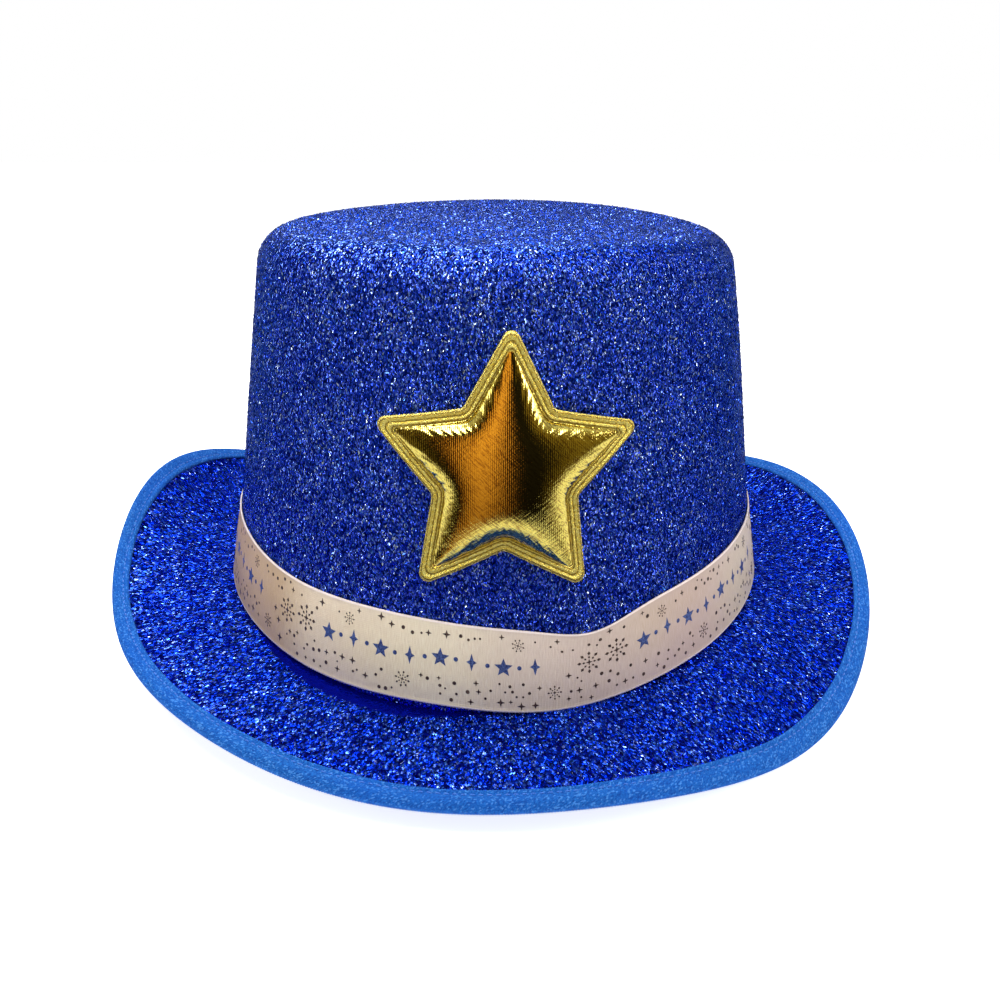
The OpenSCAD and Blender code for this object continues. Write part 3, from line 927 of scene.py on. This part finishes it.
bronze, navy, taken = [], [], []
for start in (-51 + PERIOD * k for k in range(-3, 4)):
    if abs(start + GARLAND / 2) < HALF_ROUND - 30:
        navy += garland(start)
        taken += [(start + k, 13.0, 4.2) for k in np.arange(0, GARLAND + 2, 3.0)]
        for along, up, r, turn in BURSTS:
            bronze += burst(start + along, up, r, turn)
            taken.append((start + along, up, r + 0.9))
placed = np.array(taken)
for _ in range(2600):
    u, v = rng.uniform(-HALF_ROUND + 26, HALF_ROUND - 26), rng.uniform(1.6, RIBBON_W - 1.6)
    kind = rng.uniform()
    size = 0.26 + 0.3 * rng.uniform() if kind < 0.62 else 0.65 + 0.6 * rng.uniform()
    if np.min(np.hypot(placed[:, 0] - u, placed[:, 1] - v) - placed[:, 2]) < size + 0.7:
        continue
    bronze += dot(u, v, size) if kind < 0.62 else sparkle(u, v, size)
    placed = np.vstack([placed, [u, v, size]])
decals("ribbon_bronze_print", bronze, BRONZE)
decals("ribbon_navy_print", navy, NAVY)

# ---- sweatband ----


SWEAT_OUT, SWEAT_IN = WALL_T + GAP, WALL_T + GAP + SWEAT_T


def sweat_rows(depth):
    a = turns(360)
    ends = np.linspace(0, 2, 4), np.linspace(SWEAT_H - 1.4, SWEAT_H, 4)
    heights = np.concatenate([ends[0], np.linspace(3, SWEAT_H - 2, 14), ends[1]])
    inward = 1 if depth == SWEAT_OUT else -1
    rows = []
    for h in heights[::-1]:
        roll = 0.25 * (1 - min(1, min(h, SWEAT_H - h) / 1.2)) ** 2
        rows.append(wall_point(a, seam_z(a) + SWEAT_LIFT + h, depth + inward * roll))
    return rows


sweat = closed_layer("inner_sweatband", sweat_rows(SWEAT_OUT), sweat_rows(SWEAT_IN), CROWN_GIRTH * 0.96,
                     round_rows=True)
finished(sweat, SWEAT, "sweatband_tape", "sweatband")
finished(stitches("sweatband_stitches", lambda a: wall_point(
    a, seam_z(a) + SWEAT_LIFT + SWEAT_SEAM, SWEAT_IN + THREAD_D / 2), 178, 2.2),
    BLACK_THREAD, "black_thread", "sweatband_thread")

# ---- star ----

ARM = math.radians(36)
PER_SIDE = 44


def spoke(angle):
    return np.array([math.cos(angle), math.sin(angle)])


def star_outline(inset, point_round, waist_round):
    """The star's outline moved in by inset: straight sides, with points and inner corners rounded.
    The sides touch the points' own rounding, at zero inset, as they do in the CAD."""
    middle = STAR_R - POINT_R
    corner = STAR_R * STAR_WAIST * spoke(ARM) - [middle, 0]
    touch = math.atan2(corner[1], corner[0]) - math.acos(POINT_R / np.linalg.norm(corner))
    side = middle * math.cos(touch) + POINT_R - inset
    tip, waist = side / math.cos(touch), side / math.cos(touch - ARM)
    arms = [math.pi / 2 + math.radians(STAR_TURN) + k * ARM for k in range(10)]
    corners = [(tip, waist)[k % 2] * spoke(arm) for k, arm in enumerate(arms)]
    outline = []
    for k, (arm, corner) in enumerate(zip(arms, corners)):
        sizes = (point_round * math.tan(touch), waist_round)
        ways = [unit(other - corner) for other in (corners[k - 1], corners[(k + 1) % 10])]
        start, end = (corner + way * sizes[k % 2] for way in ways)
        if k % 2:
            arc = [(1 - t) ** 2 * start + 2 * t * (1 - t) * corner + t * t * end
                   for t in np.linspace(0, 1, 9)]
        else:
            centre = corner * (1 - point_round / math.cos(touch) / tip)
            arc = [centre + point_round * spoke(arm + t) for t in np.linspace(-touch, touch, 9)]
        stop = corners[(k + 1) % 10] - ways[1] * sizes[(k + 1) % 2]
        outline += arc + [end + (stop - end) * t for t in np.linspace(0, 1, PER_SIDE - 8)[1:-1]]
    return np.array(outline) * [1, STAR_TALL]


def star_point(u, v, out):
    """A point laid on the front of the crown: across and up along the cloth, and out from it."""
    z = STAR_Z + v * CROWN_H / math.hypot(CROWN_H, TAPER)
    half_w, half_l = wall_half(CROWN_W, z), wall_half(CROWN_L, z)
    bend = half_w**2 / half_l
    x = bend * np.sin((u + STAR_SHIFT) / bend)
    y = -half_l * np.sqrt(1 - (x / half_w) ** 2)
    rise = TAPER / CROWN_H * (x * x / half_w**3 + y * y / half_l**3)
    n = stack(x / half_w**2, y / half_l**2, rise)
    out = np.asarray(out) + STAR_STIFF * (u / STAR_R) ** 2
    return stack(x, y, z) + unit(n) * out[..., None]


def inside(outline, u, v):
    """Whether points lie in an outline, by counting its crossings."""
    hit = np.zeros(u.shape, bool)
    for (x0, y0), (x1, y1) in zip(outline, np.roll(outline, -1, axis=0)):
        if y0 != y1:
            hit ^= ((y0 > v) != (y1 > v)) & (u < (x1 - x0) * (v - y0) / (y1 - y0) + x0)
    return hit


def inflated(outline):
    """Height of an evenly blown sheet held along an outline, from 0 to 1."""
    reach, level = STAR_R + 2, np.zeros((2, 2))
    for step in (2.4, 1.2, 0.6, 0.3):
        n = int(2 * reach / step) + 1
        axis = np.linspace(-reach, reach, n)
        u, v = np.meshgrid(axis, axis)
        free = inside(outline, u, v)
        old = np.linspace(-reach, reach, len(level))
        level = sample(old, level, u, v) * free
        push = (axis[1] - axis[0]) ** 2
        for _ in range(700):
            around = sum(np.roll(level, way, axis) for axis in (0, 1) for way in (1, -1))
            level = (around + push) / 4 * free
    level /= level.max()
    return lambda p, q: sample(axis, level, p, q)


def sample(axis, level, u, v):
    """Values between a square grid's points."""
    step = axis[1] - axis[0]
    fu = np.clip((u - axis[0]) / step, 0, len(axis) - 1.001)
    fv = np.clip((v - axis[0]) / step, 0, len(axis) - 1.001)
    i, j = fu.astype(int), fv.astype(int)
    p, q = fu - i, fv - j
    return ((level[j, i] * (1 - p) + level[j, i + 1] * p) * (1 - q)
            + (level[j + 1, i] * (1 - p) + level[j + 1, i + 1] * p) * q)


EDGE_OUTLINE = star_outline(0, POINT_R, 1.2)
PAD_OUTLINE = star_outline(STAR_EDGE, 0.7, 2.2)
pad_shape = inflated(PAD_OUTLINE)


def star_rows(heights_for):
    """Rings of the star from its middle out to the edge."""
    rows = [(PAD_OUTLINE * s, s, 0.0) for s in (*np.linspace(0.03, 0.9, 34), *np.linspace(0.915, 1, 14))]
    rows += [(PAD_OUTLINE + (EDGE_OUTLINE - PAD_OUTLINE) * t, 1.0, t) for t in np.linspace(0, 1, 15)[1:]]
    return [star_point(*ring.T, heights_for(*ring.T, s, t)) for ring, s, t in rows]


WELTS = (0.3, 0.15), (0.76, 0.16)  # the edge's raised lines: middle and width, as shares of the edge


def swell(u, v):
    """Height of the padding over the sealed edge."""
    return STAR_PUFF * np.maximum(pad_shape(u, v), 0) ** 0.58


def foil_height(u, v, s, t):
    """The padding's swell, the welted edge with its two raised lines, and small puckers."""
    puff = swell(u, v)
    welt = sum(0.42 * np.exp(-((t - line) / wide) ** 2) for line, wide in WELTS) if t > 0 else 0.0
    angle = np.arctan2(v, u)
    pucker = 0.05 * np.sin(61 * angle + 3 * np.sin(5 * angle)) * (s > 0.8) * (1 - t)
    edge = -0.25 * ease(t, 0.88, 1.0)
    return puff + welt + edge + pucker * np.clip(puff / 1.5 + t * 8, 0, 1)


outer = star_rows(lambda u, v, s, t: FOIL_OUT + FOIL_T + foil_height(u, v, s, t))
inner = star_rows(lambda u, v, s, t: FOIL_OUT + np.maximum(foil_height(u, v, s, t), 0) * (t < 0.99))
over_star = np.concatenate([np.linspace(0, 99, len(outer) - 14), np.linspace(100, 100 + STAR_EDGE, 15)[1:]])
star_foil = grid("star_gold_foil", outer + inner[::-1], v=[*over_star, *over_star[::-1], 0], fans=True)
finished(star_foil, FOIL, "gold_foil", "star_foil_cover")


def level_rings(outline, shares, out):
    """Smaller copies of an outline, all at one height over the cloth."""
    return [star_point(*(outline * s).T, np.full(len(outline), out)) for s in shares]


BACK_OUTLINE = star_outline(0.1, POINT_R - 0.1, 1.2)
back_shares = np.linspace(0.05, 1, 10)
back_rows = level_rings(BACK_OUTLINE, back_shares, FELT_OUT + FELT_T)
back_rows += level_rings(BACK_OUTLINE, back_shares[::-1], FELT_OUT)
star_back = finished(grid("star_backing", back_rows, fans=True), FELT, "felt", "star_felt_backing")

pad_rings = [(PAD_OUTLINE * s).T for s in (*np.linspace(0.03, 0.9, 24), 0.93, 0.96, 0.98)]
pad_rows = [star_point(*ring, FOIL_OUT - GAP + swell(*ring)) for ring in pad_rings]
pad_rows += level_rings(PAD_OUTLINE, (0.95, 0.6, 0.2, 0.03), FOIL_OUT - 0.12)
star_pad = finished(grid("star_padding", pad_rows, fans=True), FOAM, "foam", "star_foam_pad")

# ---- the star's hidden glue keeps its CAD shape ----

glue_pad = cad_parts["star_glue_pad"]
glue_pad.data.materials.clear()
glue_pad.data.materials.append(GLUE)

# ---- stage, lights and camera ----


white = Shader("pale_floor")
grain = white.noise(white.place(), 0.02, 2)
# The floor lies 0.3 mm low, clear of the binding's unevenness
bpy.ops.mesh.primitive_plane_add(size=8, location=(0, 0, -0.0003))
floor = bpy.context.object
floor.name = "floor"
floor.data.materials.append(white.surface(
    Base_Color=white.mix(grain, rgb(250, 250, 250), rgb(252, 252, 252)), Roughness=0.9,
    Emission_Color=rgb(255, 255, 255), Emission_Strength=0.8))
floor.visible_glossy = False

# Soft lights: name, place, what height they aim at, size, watts and colour
for name, place, height, size, watts, colour in (
        ("overhead", (-0.1, 0.18, 0.95), 0.08, (0.6, 0.5), 9.4, (1, 1, 1)),
        ("left_front", (-0.36, -0.37, 1.06), 0.06, (0.28, 0.32), 4.6, (0.95, 0.98, 1)),
        ("right_front", (0.44, -0.31, 1.06), 0.06, (0.28, 0.32), 3.4, (1, 0.97, 0.98)),
        ("left_side", (-1.15, -0.08, 0.45), 0.06, (0.4, 0.4), 1.9, (0.95, 0.98, 1)),
        ("right_side", (1.15, -0.1, 0.45), 0.06, (0.4, 0.4), 4.0, (1, 0.97, 0.98))):
    light = bpy.data.lights.new(name, "AREA")
    light.shape = "RECTANGLE"
    light.size, light.size_y = size
    light.energy, light.color = watts, colour
    lamp = linked(name, light)
    lamp.location = place
    x, y, z = np.array([0, 0, height]) - place
    lamp.rotation_euler = (math.atan2(math.hypot(x, y), -z), 0, math.atan2(y, x) - math.pi / 2)


def studio_world():
    """White for the camera, and a dim even room for the lighting and for rough surfaces. Mirror-like ones see
    a fuller room: a warm strip between two dark ones in front, then olive walls, white above and below."""
    world = bpy.data.worlds.new("studio")
    bpy.context.scene.world = world
    s = Shader("studio", world)
    x, y, z = s.parts(s.node("TexCoord").outputs["Generated"])
    across = s.math("DEGREES", s.math("ARCTAN2", x, s.math("MULTIPLY", y, -1.0)))
    up = s.math("DEGREES", s.math("ARCSINE", z))
    dark, warm, olive, grey = (0.012, 0.01, 0.008), (0.85, 0.4, 0.1), (0.2, 0.14, 0.035), (0.4, 0.38, 0.3)
    brown = (0.5, 0.2, 0.05)
    strips = ((-90, grey), (-64, olive), (-54, dark), (-38, dark), (-32, brown), (-26, warm), (-5, warm),
              (1, brown), (6, (0.07, 0.035, 0.02)), (12, dark), (46, dark), (54, olive), (70, olive),
              (84, grey))
    front = s.ramp(s.steps(across, -90, 90), [(place / 180 + 0.5, colour) for place, colour in strips])
    front = s.mix(1.0, front, s.steps(up, -35, 25, 0.35, 1.0), "MULTIPLY")
    spread = s.math("POWER", s.math("DIVIDE", s.math("ABSOLUTE", across), 65), 2)
    over_floor = s.math("SUBTRACT", up, s.math("MULTIPLY_ADD", spread, 20, -40))
    seen = s.mix(s.steps(over_floor, -3, 3), (1.0, 1.0, 1.0, 1), front)
    seen = s.mix(s.steps(up, 46, 56), seen, (0.7, 0.7, 0.66, 1))
    path = s.node("LightPath")
    lit = s.mix(path.outputs["Is Singular Ray"], (0.315, 0.33, 0.365, 1), seen)
    colour = s.mix(path.outputs["Is Camera Ray"], lit, (1, 1, 1, 1))
    s.node("OutputWorld", {0: s.node("Background", {0: colour}).outputs[0]})


studio_world()

camera = bpy.data.cameras.new("camera")
camera.lens = 39.06
camera.sensor_width = 36
camera.clip_start = 0.01
eye = linked("camera", camera)
eye.location = (2.4 * MM, -350 * MM, (BASE_Z + 143.7) * MM)
eye.rotation_euler = (math.radians(90 - 19.34), 0, 0)
bpy.context.scene.camera = eye

bpy.context.scene.view_settings.view_transform = "Standard"
bpy.context.scene.view_settings.look = "None"
